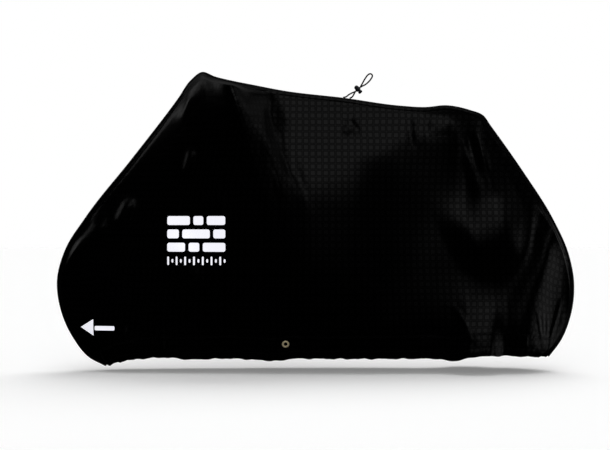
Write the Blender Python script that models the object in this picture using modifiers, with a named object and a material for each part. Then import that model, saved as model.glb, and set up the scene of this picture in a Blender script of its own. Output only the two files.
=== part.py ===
"""A fitted bicycle cover, as it hangs over a bicycle that is left out.

Two cloth sides are sewn to a long gusset, which runs from the front hem over the handlebar and the saddle
to the rear hem. A gathered hem band closes each side, with a brass eyelet for a lock. A shock cord comes
out of the top as a loop, held by a sprung cord toggle.

Run it with  blender --background --python part.py  or from Blender's text editor.
Metres. +Z is up, the front is at -X and the near side, which carries the prints, is at -Y. The origin is
under the top, halfway along.
"""

import math

import bmesh
import bpy
import numpy as np
from mathutils import Matrix, Vector

# ---------------------------------------------------------------- driving sizes
CLOTH = 0.0015  # thickness of the coated cloth
TOP_HEIGHT = 0.9627  # the origin, under the top at mid-length, above the ground that the wheels stand on
GUSSET = 0.055  # half the gusset's usual width, from the crown to a seam
SEAM_GAP = 0.0006  # between pieces that are sewn together
GUSSET_DROP = 2.5  # how sharply the gusset turns down at its seams
GUSSET_SPREAD = 2.0  # how quickly it widens next to the crown
BAND = 0.082  # height of the hem band
CORNER_SHARE = 0.45  # the most of a short column's length that the band takes near a corner
COLUMNS = 66  # steps of the mesh along the cover
SIDE_ROWS = 18  # steps down a side
BAND_ROWS = 3
GUSSET_ROWS = 4
ROW_CROWDING = 0.45  # how much closer the rows lie near the seam and near the band than between them
SLOPE_STEP = 0.006  # step over which the cloth's slope is measured

# The silhouette from the side: the line of the crown, from the front hem to the rear hem.
# name: (x, height above the ground)
OUTLINE = {
    "front_corner": (-0.733, 0.018),
    "toe": (-0.793, 0.051),
    "toe_top": (-0.840, 0.109),
    "nose_low": (-0.889, 0.218),
    "nose": (-0.901, 0.316),
    "nose_top": (-0.872, 0.426),
    "brow": (-0.802, 0.537),
    "shin": (-0.639, 0.743),
    "brake": (-0.477, 0.954),
    "bar_front": (-0.434, 1.015),
    "bar": (-0.394, 1.043),
    "bar_back": (-0.349, 1.027),
    "grip": (-0.287, 1.012),
    "stem": (-0.225, 1.000),
    "top_front": (-0.110, 0.978),
    "top": (0.100, 0.953),
    "top_back": (0.295, 0.926),
    "saddle_nose": (0.382, 0.921),
    "saddle": (0.456, 0.927),
    "saddle_back": (0.535, 0.911),
    "tail": (0.583, 0.892),
    "tail_low": (0.609, 0.857),
    "seat_slope": (0.724, 0.695),
    "rear_brow": (0.827, 0.532),
    "rear_top": (0.882, 0.409),
    "rear": (0.901, 0.309),
    "rear_low": (0.887, 0.186),
    "heel": (0.855, 0.107),
    "rear_corner": (0.814, 0.051),
}

# Height of the hem's edge above the ground along its length: (x, height).
HEM = (
    (-0.712, 0.025),
    (-0.650, 0.044),
    (-0.510, 0.056),
    (-0.430, 0.050),
    (-0.300, 0.054),
    (-0.125, 0.047),
    (-0.080, 0.055),
    (0.100, 0.054),
    (0.400, 0.054),
    (0.462, 0.047),
    (0.505, 0.058),
    (0.555, 0.067),
    (0.640, 0.065),
    (0.794, 0.055),
)
# Small ripples along the hem's edge: (wavelength, height, phase).
HEM_RIPPLES = ((0.071, 0.0013, 0.4), (0.043, 0.0007, 2.1))

# Cross-sections, each where a column of the mesh leaves a named point of the outline.
# Columns: where, x of the column's foot on the hem, drop from the crown to the seam, then the
# half-width at the seam, rim, shoulder, upper, waist, lower, blouse and hem levels.
LEVELS = (0.0, 0.03, 0.11, 0.23, 0.42, 0.63, 0.85, 1.0)  # share of the way down, for those eight
SECTIONS = (
    ("front_corner", -0.712, 0.011, 0.034, 0.035, 0.037, 0.039, 0.041, 0.043, 0.043, 0.042),
    ("toe_top", -0.676, 0.011, 0.040, 0.043, 0.048, 0.055, 0.065, 0.076, 0.080, 0.072),
    ("nose", -0.622, 0.012, 0.044, 0.049, 0.058, 0.070, 0.088, 0.104, 0.110, 0.096),
    ("brow", -0.525, 0.014, 0.048, 0.060, 0.080, 0.104, 0.130, 0.140, 0.130, 0.114),
    ("shin", -0.395, 0.014, 0.050, 0.074, 0.105, 0.136, 0.166, 0.172, 0.150, 0.126),
    ("brake", -0.255, 0.012, 0.052, 0.092, 0.146, 0.182, 0.208, 0.206, 0.168, 0.134),
    ("bar", -0.150, 0.009, 0.054, 0.140, 0.196, 0.228, 0.242, 0.230, 0.182, 0.140),
    ("grip", -0.010, 0.010, 0.056, 0.276, 0.297, 0.290, 0.276, 0.252, 0.194, 0.145),
    ("stem", 0.028, 0.012, 0.055, 0.140, 0.216, 0.254, 0.266, 0.250, 0.196, 0.146),
    ("top_front", 0.090, 0.013, 0.055, 0.072, 0.118, 0.180, 0.231, 0.236, 0.200, 0.146),
    ("top", 0.190, 0.013, 0.055, 0.068, 0.110, 0.170, 0.201, 0.205, 0.188, 0.146),
    ("top_back", 0.290, 0.013, 0.056, 0.070, 0.106, 0.125, 0.144, 0.162, 0.172, 0.142),
    ("saddle", 0.400, 0.014, 0.066, 0.068, 0.089, 0.097, 0.114, 0.140, 0.158, 0.136),
    ("saddle_back", 0.472, 0.014, 0.068, 0.069, 0.071, 0.082, 0.108, 0.130, 0.154, 0.150),
    ("tail", 0.535, 0.013, 0.062, 0.068, 0.079, 0.092, 0.110, 0.122, 0.146, 0.148),
    ("seat_slope", 0.625, 0.010, 0.048, 0.053, 0.066, 0.084, 0.102, 0.114, 0.132, 0.128),
    ("rear_brow", 0.690, 0.010, 0.046, 0.048, 0.051, 0.059, 0.074, 0.092, 0.104, 0.098),
    ("rear", 0.738, 0.013, 0.044, 0.045, 0.047, 0.052, 0.060, 0.074, 0.088, 0.076),
    ("heel", 0.772, 0.011, 0.038, 0.040, 0.045, 0.054, 0.064, 0.070, 0.066, 0.055),
    ("rear_corner", 0.794, 0.010, 0.033, 0.034, 0.036, 0.038, 0.040, 0.041, 0.041, 0.041),
)

# Folds that hang in the sides. Each is a soft ridge, or a trough where its height is negative.
# Columns: side (-1 near, 1 far, 0 both), x and height at its head, x and height at its foot, width, height, bow
FOLDS = (
    # the ridge and the trough behind the end of the handlebar
    (0, -0.236, 0.980, -0.070, 0.520, 0.022, 0.010, 0.0),
    (0, -0.190, 0.970, -0.010, 0.540, 0.022, -0.011, 0.0),
    (1, -0.020, 0.900, 0.080, 0.780, 0.036, -0.009, 0.010),
    # the rear: a ridge like the rim of a bowl, a wide bulge below it, a valley, and the ridge along the back
    (0, 0.415, 0.475, 0.710, 0.605, 0.110, 0.040, 0.085),
    (0, 0.450, 0.060, 0.655, 0.055, 0.145, 0.055, 0.0),
    (0, 0.830, 0.680, 0.640, 0.200, 0.038, -0.012, 0.0),
    (0, 1.384, 1.037, 0.842, -0.633, 0.080, 0.052, 0.376),
    # under the saddle
    (-1, 0.500, 0.795, 0.575, 0.590, 0.020, 0.007, 0.0),
    (-1, 0.545, 0.815, 0.620, 0.590, 0.020, 0.008, 0.0),
    (1, 0.300, 0.915, 0.262, 0.700, 0.030, -0.010, 0.006),
    (1, 0.500, 0.890, 0.572, 0.540, 0.030, 0.012, 0.010),
    (1, 0.446, 0.900, 0.478, 0.620, 0.030, -0.011, 0.0),
    (1, 0.370, 0.330, 0.530, 0.085, 0.032, 0.014, 0.012),
    (1, 0.450, 0.330, 0.590, 0.100, 0.028, -0.011, 0.010),
    (0, -0.800, 0.520, -0.745, 0.590, 0.038, 0.010, 0.0),
    (-1, -0.430, 0.980, -0.448, 0.840, 0.028, 0.010, 0.004),
    (1, -0.560, 0.720, -0.640, 0.480, 0.034, 0.011, 0.010),
    (0, -0.655, 0.190, -0.640, 0.040, 0.026, 0.008, 0.0),
    (0, -0.520, 0.170, -0.530, 0.050, 0.026, 0.007, 0.0),
    (0, -0.770, 0.220, -0.735, 0.070, 0.024, 0.008, 0.0),
)
FOLD_ENDS = 0.35  # share of a fold's length over which each end dies away

# A flat round place in each hem band, where the eyelet is set.
EYELET_X = -0.1026
EYELET_HEIGHT = 0.1055  # above the ground
EYELET_Y = 0.160  # distance of the cloth's outer face from the middle plane there
EYELET_LEAN = 0.31  # how much further out the cloth is there for each metre of height
FLAT_RADIUS = 0.046  # the cloth is flat this far around the eyelet
FLAT_FADE = 0.110  # and has its own shape again this far out

# The eyelet: a turned brass ring whose two flanges grip the edge of the hole.
EYELET_HOLE = 0.0062
EYELET_BARREL = 0.0070  # outer radius of the ring's barrel, inside the cloth's hole
EYELET_FLANGE = 0.0126
EYELET_FLANGE_DEPTH = 0.0016
EYELET_STEPS = 24

# The shock cord and its toggle.
CORD = 0.0053
CORD_POINTS = 70
CORD_SPACE = 0.0003  # around the cord and between its two strands
CORD_LEAN = 0.85  # how far a leaning end stands off the gusset, in radii of the cord
CORD_EXITS = (0.0972, 0.1189)  # x where the strands leave the gusset
TOGGLE_X = 0.1483
TOGGLE_HEIGHT = 0.9846  # above the ground
TOGGLE_TILT = math.radians(41.0)  # of the strands through it, above the horizontal
TOGGLE_RADIUS = 0.0084
TOGGLE_OPEN_END = 0.0060  # from the cord's middle to the barrel's open end
TOGGLE_SHUT_END = 0.0150  # and to its shut end
TOGGLE_BORE = 0.0069
TOGGLE_BORE_DEPTH = 0.0155
TOGGLE_TRAVEL = 0.0045
BUTTON_RADIUS = 0.0076
BUTTON_LENGTH = 0.0065
# The cord's way through the toggle and round the loop, between its two ends in the gusset. Columns: distance
# along the strands from the toggle's middle, share of the way from the middle plane to a strand, and distance
# towards the button.
CORD_WAY = (
    (-0.0480, -1.0, -0.0074),
    (-0.0369, -1.0, -0.0068),
    (-0.0260, -1.0, -0.0046),
    (-0.0170, -1.0, -0.0016),
    (-0.0090, -1.0, 0.0),
    (0.0, -1.0, 0.0),
    (0.0085, -1.0, 0.0),
    (0.0180, -1.0, -0.0026),
    (0.0300, -0.9, -0.0070),
    (0.0440, -0.6, -0.0118),
    (0.0560, -0.4, -0.0146),
    (0.0640, -0.2, -0.0146),
    (0.0694, -0.1, -0.0110),
    (0.0706, 0.0, -0.0060),
    (0.0680, 0.1, -0.0014),
    (0.0600, 0.3, 0.0022),
    (0.0500, 0.5, 0.0044),
    (0.0380, 0.7, 0.0052),
    (0.0270, 0.9, 0.0042),
    (0.0170, 1.0, 0.0016),
    (0.0085, 1.0, 0.0),
    (0.0, 1.0, 0.0),
    (-0.0085, 1.0, 0.0),
    (-0.0160, 1.0, 0.0016),
    (-0.0240, 1.0, 0.0048),
    (-0.0320, 1.0, 0.0070),
)
ROUND_STEPS = 20

# name: (colour, roughness, metallic)
FINISHES = {
    "cloth": ((0.012, 0.012, 0.013, 1.0), 0.55, 0.0),
    "cord": ((0.010, 0.010, 0.011, 1.0), 0.7, 0.0),
    "brass": ((0.62, 0.52, 0.28, 1.0), 0.3, 1.0),
    "plastic": ((0.02, 0.02, 0.022, 1.0), 0.4, 0.0),
}


# ---------------------------------------------------------------- smooth curves
def spline(knots, values, at, limited=True):
    """Values of a smooth curve at the places `at`. Its knots' values are rows of `values`.

    Limited slopes keep it from passing beyond its knots. The other kind is rounder.
    """
    knots = np.asarray(knots, float)
    values = np.asarray(values, float)
    steps = np.diff(knots).reshape((-1,) + (1,) * (values.ndim - 1))
    rises = np.diff(values, axis=0) / steps
    before, after = rises[:-1], rises[1:]
    if limited:
        near, far = 2 * steps[1:] + steps[:-1], steps[1:] + 2 * steps[:-1]
        same_way = before * after > 0
        safe_before = np.where(same_way, before, 1.0)
        safe_after = np.where(same_way, after, 1.0)
        inner = np.where(same_way, (near + far) / (near / safe_before + far / safe_after), 0.0)
    else:
        inner = (before * steps[1:] + after * steps[:-1]) / (steps[1:] + steps[:-1])
    slopes = np.concatenate([rises[:1], inner, rises[-1:]])
    at = np.asarray(at, float)
    place = np.clip(np.searchsorted(knots, at, side="right") - 1, 0, len(knots) - 2)
    width = knots[place + 1] - knots[place]
    t = np.clip((at - knots[place]) / width, 0, 1)
    if values.ndim > 1 and values.shape[1:] == at.shape:  # each place has knots of its own
        pick = np.arange(at.size)
        low, high = values[place, pick], values[place + 1, pick]
        low_slope, high_slope = slopes[place, pick] * width, slopes[place + 1, pick] * width
    else:
        if values.ndim > 1:
            width, t = width[:, None], t[:, None]
        low, high = values[place], values[place + 1]
        low_slope, high_slope = slopes[place] * width, slopes[place + 1] * width
    return (
        low * (1 + 2 * t) * (1 - t) ** 2
        + low_slope * t * (1 - t) ** 2
        + high * t * t * (3 - 2 * t)
        + high_slope * t * t * (t - 1)
    )


def fade(t):
    """0 up to t = 0, 1 from t = 1, and smooth between."""
    t = np.clip(t, 0, 1)
    return t * t * (3 - 2 * t)


# ---------------------------------------------------------------- the cloth's shape
OUTLINE_POINTS = np.array(list(OUTLINE.values()))
OUTLINE_AT = np.concatenate([[0], np.cumsum(np.linalg.norm(np.diff(OUTLINE_POINTS, axis=0), axis=1))])
CROWN_LENGTH = OUTLINE_AT[-1]
SECTION_AT = [OUTLINE_AT[list(OUTLINE).index(row[0])] for row in SECTIONS]
SECTION_SIZES = np.array([row[1:] for row in SECTIONS])


def crown_line(u):
    """x and height of the crown, u metres along it from the front hem."""
    return spline(OUTLINE_AT, OUTLINE_POINTS, u, limited=False)


def column(u):
    """For places u along the crown: the crown, the way inwards from it, the column's foot, and the section sizes."""
    u = np.clip(u, 0, CROWN_LENGTH)
    crown = crown_line(u)
    ahead = crown_line(np.minimum(u + SLOPE_STEP, CROWN_LENGTH)) - crown_line(np.maximum(u - SLOPE_STEP, 0))
    ahead /= np.linalg.norm(ahead, axis=1)[:, None]
    inward = np.stack([ahead[:, 1], -ahead[:, 0]], axis=1)
    sizes = spline(SECTION_AT, SECTION_SIZES, u)
    foot_x = sizes[:, 0]
    hem_x, hem_height = np.transpose(HEM)
    foot_height = spline(hem_x, hem_height, foot_x)
    for wavelength, height, phase in HEM_RIPPLES:
        foot_height += height * np.sin(2 * math.pi * foot_x / wavelength + phase)
    return crown, inward, np.stack([foot_x, foot_height], axis=1), sizes[:, 1:]


def column_length(u):
    """Distance from the seam to the hem along each column, seen from the side."""
    crown, inward, foot, sizes = column(u)
    return np.linalg.norm(foot - crown - inward * sizes[:, :1], axis=1)


def relief(side, x, height):
    """How far the folds push a side out at (x, height)."""
    total = np.zeros_like(x)
    for which, head_x, head_height, foot_x, foot_height, width, push, bow in FOLDS:
        run = np.array([foot_x - head_x, foot_height - head_height])
        length = np.linalg.norm(run)
        run /= length
        along = ((x - head_x) * run[0] + (height - head_height) * run[1]) / length
        across = (x - head_x) * run[1] - (height - head_height) * run[0]
        across = across - bow * 4 * along * (1 - along)
        ends = fade(along / FOLD_ENDS) * fade((1 - along) / FOLD_ENDS)
        here = (which == 0) | (side == which)
        total += np.where(here, push * ends * np.exp(-((across / width) ** 2)), 0.0)
    return total


def cover_point(u, s):
    """Points of the cloth's outer face, u metres along the crown and s metres across it.

    s is negative on the near side. The seams are at plus and minus GUSSET, and a hem is a column beyond.
    """
    crown, inward, foot, sizes = column(u)
    side = np.where(s < 0, -1, 1)
    across = np.minimum(np.abs(s) / GUSSET, 1.0)
    seam = crown + inward * (sizes[:, 0] * across**GUSSET_DROP)[:, None]
    length = np.linalg.norm(foot - seam, axis=1)
    down = np.clip((np.abs(s) - GUSSET) / length, 0, 1)
    flat = seam + (foot - seam) * down[:, None]
    x, height = flat[:, 0], flat[:, 1]
    gusset = sizes[:, 1] * (1 - (1 - across) ** GUSSET_SPREAD)
    half_width = np.where(down > 0, spline(LEVELS, sizes[:, 1:].T, down), gusset)
    # Folds start below the seam, so that the seam stays a clean line.
    half_width = half_width + relief(side, x, height) * fade(down / 0.06) * (down > 0)
    from_eyelet = np.hypot(x - EYELET_X, height - EYELET_HEIGHT)
    flatness = 1 - fade((from_eyelet - FLAT_RADIUS) / (FLAT_FADE - FLAT_RADIUS))
    flat_y = EYELET_Y + EYELET_LEAN * (height - EYELET_HEIGHT)
    half_width = half_width + (flat_y - half_width) * flatness * (down > 0.5)
    return np.stack([x, side * half_width, height - TOP_HEIGHT], axis=1)


def cover_normal(u, s):
    """Unit normals of the cloth's outer face, pointing out."""
    step = np.full_like(u, SLOPE_STEP)
    along = cover_point(u + step, s) - cover_point(u - step, s)
    across = cover_point(u, s + step) - cover_point(u, s - step)
    normal = np.cross(along, across)
    return normal / np.linalg.norm(normal, axis=1)[:, None]


def mesh_columns():
    """A function from 0 to 1 to the crown, even by the mean of the crown's and the hem's lengths."""
    u = np.linspace(0, CROWN_LENGTH, 600)
    crown, _, foot, _ = column(u)
    run = np.linalg.norm(np.diff(crown, axis=0), axis=1) + np.linalg.norm(np.diff(foot, axis=0), axis=1)
    run = np.concatenate([[0], np.cumsum(run)])
    return lambda share: np.interp(share, run / run[-1], u)


# ---------------------------------------------------------------- Blender helpers
def clear_scene():
    for thing in list(bpy.data.objects):
        bpy.data.objects.remove(thing)


def finish(name):
    """The named finish as a material, made once."""
    material = bpy.data.materials.get(name)
    if material is None:
        colour, roughness, metallic = FINISHES[name]
        material = bpy.data.materials.new(name)
        material.use_nodes = True
        shader = material.node_tree.nodes["Principled BSDF"]
        shader.inputs["Base Color"].default_value = colour
        shader.inputs["Roughness"].default_value = roughness
        shader.inputs["Metallic"].default_value = metallic
    return material


def object_of(name, data, where, material):
    thing = bpy.data.objects.new(name, data)
    where.objects.link(thing)
    data.materials.append(finish(material))
    return thing


def collection(name, hidden=False):
    made = bpy.data.collections.new(name)
    bpy.context.scene.collection.children.link(made)
    made.hide_render = hidden
    return made


def moved(thing, where):
    """The object, taken from its collections to another one."""
    for home in list(thing.users_collection):
        home.objects.unlink(thing)
    where.objects.link(thing)
    return thing


def cut(thing, cutter):
    """Cuts the cutter's shape out of a mesh object."""
    modifier = thing.modifiers.new("cut_" + cutter.name, "BOOLEAN")
    modifier.operation = "DIFFERENCE"
    modifier.object = cutter
    cutter.hide_render = True
    cutter.display_type = "WIRE"


# ---------------------------------------------------------------- cloth pieces
def cloth_piece(name, where, rows, place):
    """A sheet of the cover. place(across) gives, for shares 0 to 1 down it, a function from u to s."""
    bm = bmesh.new()
    bmesh.ops.create_grid(bm, x_segments=COLUMNS, y_segments=rows, size=1)
    bmesh.ops.triangulate(bm, faces=bm.faces[:])
    inner = bmesh.ops.extrude_face_region(bm, geom=bm.faces[:], use_keep_orig=True)["geom"]
    bmesh.ops.translate(bm, vec=(0, 0, -1), verts=[v for v in inner if isinstance(v, bmesh.types.BMVert)])
    bmesh.ops.recalc_face_normals(bm, faces=bm.faces[:])
    flat = np.array([v.co for v in bm.verts])
    u = mesh_columns()((flat[:, 0] + 1) / 2)
    s = place(u, (flat[:, 1] + 1) / 2)
    depth = np.where(flat[:, 2] < -0.5, CLOTH, 0.0)
    placed = cover_point(u, s) - cover_normal(u, s) * depth[:, None]
    for vertex, co in zip(bm.verts, placed):
        vertex.co = co
    if bm.calc_volume(signed=True) < 0:  # the near side is a mirror image
        bmesh.ops.reverse_faces(bm, faces=bm.faces[:])
    mesh = bpy.data.meshes.new(name)
    bm.to_mesh(mesh)
    bm.free()
    mesh.shade_smooth()
    mesh.set_sharp_from_angle(angle=math.radians(50))
    return object_of(name, mesh, where, "cloth")


def band_top(u):
    """Girth, from the crown, at which a side ends and its hem band starts."""
    length = column_length(u)
    return GUSSET + length - np.minimum(BAND, CORNER_SHARE * length)


def crowded(share):
    """Shares of the way down a side, closer together near both its ends."""
    return share - ROW_CROWDING * np.sin(2 * math.pi * share) / (2 * math.pi)


def side(name, where, sign):
    def place(u, share):
        top = GUSSET + SEAM_GAP / 2
        return sign * (top + (band_top(u) - SEAM_GAP / 2 - top) * crowded(share))

    return cloth_piece(name, where, SIDE_ROWS, place)


def hem_band(name, where, sign):
    def place(u, share):
        top = band_top(u) + SEAM_GAP / 2
        return sign * (top + (GUSSET + column_length(u) - top) * share)

    return cloth_piece(name, where, BAND_ROWS, place)


def gusset(name, where):
    def place(_, share):
        return (GUSSET - SEAM_GAP / 2) * (2 * share - 1)

    return cloth_piece(name, where, GUSSET_ROWS, place)


# ---------------------------------------------------------------- turned pieces
def turned(name, where, profile, steps, material, closed):
    """A ring or a plug turned about the object's Z axis. Its profile of (radius, height) runs down the outer side."""
    mesh = bpy.data.meshes.new(name)
    edges = [(i, i + 1) for i in range(len(profile) - 1)]
    if closed:
        edges.append((len(profile) - 1, 0))
    mesh.from_pydata([(radius, 0, height) for radius, height in profile], edges, [])
    thing = object_of(name, mesh, where, material)
    screw = thing.modifiers.new("turn", "SCREW")
    screw.steps = screw.render_steps = steps
    screw.use_merge_vertices = True
    screw.merge_threshold = 0.00001
    return thing


def applied(thing):
    """The object with its modifiers made part of its mesh."""
    graph = bpy.context.evaluated_depsgraph_get()
    mesh = bpy.data.meshes.new_from_object(thing.evaluated_get(graph))
    thing.modifiers.clear()
    thing.data = mesh
    return thing


def eyelet(name, where, sign):
    """A ring around its Z axis, which points out of the cover's side."""
    half = CLOTH / 2 + 0.0003  # half the width of the groove that holds the cloth
    face = half + EYELET_FLANGE_DEPTH
    round_edge = 0.0008
    profile = [
        (EYELET_HOLE + round_edge, face),
        (EYELET_FLANGE - 0.0030, face),
        (EYELET_FLANGE - round_edge, face - 0.0005),
        (EYELET_FLANGE, half + 0.0004),
        (EYELET_FLANGE - 0.0004, half),
        (EYELET_BARREL, half),
        (EYELET_BARREL, -half),
        (EYELET_FLANGE - 0.0006, -half),
        (EYELET_FLANGE - 0.0002, -half - 0.0004),
        (EYELET_FLANGE - 0.0010, -half - 0.0010),
        (EYELET_HOLE + round_edge, -half - 0.0012),
        (EYELET_HOLE, -half - 0.0006),
        (EYELET_HOLE, face - round_edge),
    ]
    ring = turned(name, where, profile, EYELET_STEPS, "brass", closed=True)
    ring.matrix_world = eyelet_frame(sign)
    return ring


def eyelet_frame(sign):
    """Places the eyelet in the middle of the cloth's thickness, with its Z pointing out of the cloth."""
    out = Vector((0, sign, -EYELET_LEAN)).normalized()
    middle = Vector((EYELET_X, sign * EYELET_Y, EYELET_HEIGHT - TOP_HEIGHT)) - out * CLOTH / 2
    return Matrix.Translation(middle) @ out.to_track_quat("Z", "Y").to_matrix().to_4x4()


def eyelet_hole(band, cutters, sign):
    bpy.ops.mesh.primitive_cylinder_add(vertices=EYELET_STEPS, radius=EYELET_BARREL + 0.0004, depth=0.02)
    cutter = moved(bpy.context.object, cutters)
    cutter.name = band.name + "_hole"
    cutter.matrix_world = eyelet_frame(sign)
    cut(band, cutter)


# ---------------------------------------------------------------- cord and toggle
def toggle_frame():
    """Places the toggle: its X runs along the strands, and its Z from the barrel to the button."""
    strands = Vector((math.cos(TOGGLE_TILT), 0, math.sin(TOGGLE_TILT)))
    button_way = Vector((math.sin(TOGGLE_TILT), 0, -math.cos(TOGGLE_TILT)))
    turn = Matrix((strands, button_way.cross(strands), button_way)).transposed().to_4x4()
    return Matrix.Translation((TOGGLE_X, 0, TOGGLE_HEIGHT - TOP_HEIGHT)) @ turn


def slot_cutter(name, cutters, low, high):
    """A slot for two strands side by side, from low to high along the toggle's Z, with round ends."""
    height = high - low
    width = 2 * CORD + 3 * CORD_SPACE
    corner = (CORD + 2 * CORD_SPACE) / 2 - 0.0001
    bpy.ops.mesh.primitive_cube_add(size=1)
    cutter = bpy.context.object
    cutter.name = name
    cutter.data.transform(Matrix.Translation((0, 0, (low + high) / 2)) @ Matrix.Diagonal((0.03, width, height, 1)))
    bm = bmesh.new()
    bm.from_mesh(cutter.data)
    lengthwise = [e for e in bm.edges if abs((e.verts[0].co - e.verts[1].co).x) > 0.01]
    bmesh.ops.bevel(bm, geom=lengthwise, offset=corner, segments=4, profile=0.5, affect="EDGES")
    bm.to_mesh(cutter.data)
    bm.free()
    cutter.matrix_world = toggle_frame()
    return moved(cutter, cutters)


def toggle_barrel(where, cutters):
    top, bottom = TOGGLE_OPEN_END, -TOGGLE_SHUT_END
    floor = TOGGLE_OPEN_END - TOGGLE_BORE_DEPTH
    profile = [
        (TOGGLE_BORE, floor),
        (TOGGLE_BORE, top),
        (TOGGLE_RADIUS - 0.0010, top),
        (TOGGLE_RADIUS - 0.0004, top - 0.0009),
        (TOGGLE_RADIUS, top - 0.0030),
        (TOGGLE_RADIUS - 0.0003, -0.0060),
        (TOGGLE_RADIUS - 0.0012, bottom + 0.0040),
        (TOGGLE_RADIUS - 0.0034, bottom + 0.0012),
        (TOGGLE_RADIUS - 0.0060, bottom),
        (0, bottom),
    ]
    barrel = turned("toggle_barrel", where, [(0, floor)] + profile, ROUND_STEPS, "plastic", closed=False)
    applied(barrel)
    barrel.matrix_world = toggle_frame()
    half = CORD / 2 + CORD_SPACE
    cut(barrel, slot_cutter("barrel_slot", cutters, -half, half))
    return barrel


def toggle_plunger(where, cutters):
    """The button and the stem, whose slot is longer than the barrel's by the travel."""
    half = CORD / 2 + CORD_SPACE
    stem = TOGGLE_BORE - 0.0003
    neck = TOGGLE_OPEN_END + TOGGLE_TRAVEL
    tip = neck + BUTTON_LENGTH
    profile = [
        (0, tip),
        (BUTTON_RADIUS - 0.0036, tip),
        (BUTTON_RADIUS - 0.0012, tip - 0.0008),
        (BUTTON_RADIUS, tip - 0.0024),
        (BUTTON_RADIUS, neck + 0.0012),
        (BUTTON_RADIUS - 0.0008, neck + 0.0002),
        (stem, neck + 0.0002),
        (stem, -half - 0.0022),
        (stem - 0.0006, -half - 0.0028),
        (0, -half - 0.0028),
    ]
    plunger = turned("toggle_plunger", where, profile, ROUND_STEPS, "plastic", closed=False)
    applied(plunger)
    plunger.matrix_world = toggle_frame()
    cut(plunger, slot_cutter("plunger_slot", cutters, -half, half + TOGGLE_TRAVEL))
    return plunger


def top_surface(x):
    """Point of the gusset's outer face on the crown at x, and the way out of it."""
    u = np.linspace(0, CROWN_LENGTH, 3000)
    crown = crown_line(u)
    over_the_bar = u > OUTLINE_AT[list(OUTLINE).index("stem")]
    nearest = np.argmin(np.abs(crown[:, 0] - x) + np.where(over_the_bar & (crown[:, 1] > 0.9), 0, 9))
    here = u[nearest : nearest + 1]
    zero = np.zeros(1)
    return Vector(cover_point(here, zero)[0]), Vector(cover_normal(here, zero)[0])


def cord_route():
    """Points along the cord's middle: out of the gusset, through the toggle, round the loop and back."""
    frame = toggle_frame()
    beside = CORD / 2 + CORD_SPACE / 2  # each strand's distance from the middle plane in the toggle
    clear = CORD_SPACE + CORD / 2 * CORD_LEAN
    start, start_way = top_surface(CORD_EXITS[0])
    end, end_way = top_surface(CORD_EXITS[1])
    between = [frame @ Vector((along, share * beside, towards)) for along, share, towards in CORD_WAY]
    return [start + start_way * clear] + between + [end + end_way * clear]


def cord(where):
    """A round cord along a smooth line through the route's points."""
    points = np.array(cord_route())
    at = np.concatenate([[0], np.cumsum(np.linalg.norm(np.diff(points, axis=0), axis=1))])
    line = spline(at, points, np.linspace(0, at[-1], CORD_POINTS), limited=False)
    curve = bpy.data.curves.new("shock_cord", "CURVE")
    curve.dimensions = "3D"
    curve.bevel_depth = CORD / 2
    curve.bevel_resolution = 2
    curve.use_fill_caps = True
    run = curve.splines.new("POLY")
    run.points.add(len(line) - 1)
    for point, co in zip(run.points, line):
        point.co = (*co, 1)
    return object_of("shock_cord", curve, where, "cord")


# ---------------------------------------------------------------- the cover
def main():
    clear_scene()
    cover = collection("bicycle_cover")
    cutters = collection("cutters", hidden=True)
    gusset("gusset", cover)
    for sign, which in ((-1, "near"), (1, "far")):
        side("side_" + which, cover, sign)
        band = hem_band("hem_band_" + which, cover, sign)
        eyelet_hole(band, cutters, sign)
        eyelet("eyelet_" + which, cover, sign)
    cord(cover)
    toggle_barrel(cover, cutters)
    toggle_plunger(cover, cutters)


main()
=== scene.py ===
"""A black ripstop bicycle cover in a pale studio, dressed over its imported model.

The cloth is built again from the sizes of its solids, fine enough for its creases, seams and gathers.
Metres, in the row frame: +X to the rear, the printed near side at -Y, +Z up.
"""

import math

import bmesh
import bpy
import numpy as np
from mathutils import Matrix, Vector
from mathutils.bvhtree import BVHTree


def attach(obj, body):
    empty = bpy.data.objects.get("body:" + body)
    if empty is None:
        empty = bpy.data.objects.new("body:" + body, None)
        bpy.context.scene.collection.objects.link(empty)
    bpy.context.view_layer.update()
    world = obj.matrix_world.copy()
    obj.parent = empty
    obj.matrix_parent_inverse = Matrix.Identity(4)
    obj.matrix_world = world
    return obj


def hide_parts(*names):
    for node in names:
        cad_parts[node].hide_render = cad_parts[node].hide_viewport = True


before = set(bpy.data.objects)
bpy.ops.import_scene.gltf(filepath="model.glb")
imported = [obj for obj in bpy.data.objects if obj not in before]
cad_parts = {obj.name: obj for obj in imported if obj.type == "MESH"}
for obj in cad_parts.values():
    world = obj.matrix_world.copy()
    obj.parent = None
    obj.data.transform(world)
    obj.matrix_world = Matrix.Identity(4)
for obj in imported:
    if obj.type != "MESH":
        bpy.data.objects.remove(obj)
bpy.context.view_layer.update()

# ---- sizes shared with the solids
CLOTH = 0.0012  # thickness that shows, a little under the solid's
TOP_HEIGHT = 0.9627  # the origin above the ground
GUSSET = 0.055
SEAM_GAP = 0.0006
BAND = 0.082
CORNER_SHARE = 0.45
GUSSET_DROP = 2.5  # how sharply the gusset turns down at its seams
GUSSET_SPREAD = 2.0
SLOPE_STEP = 0.006

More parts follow.
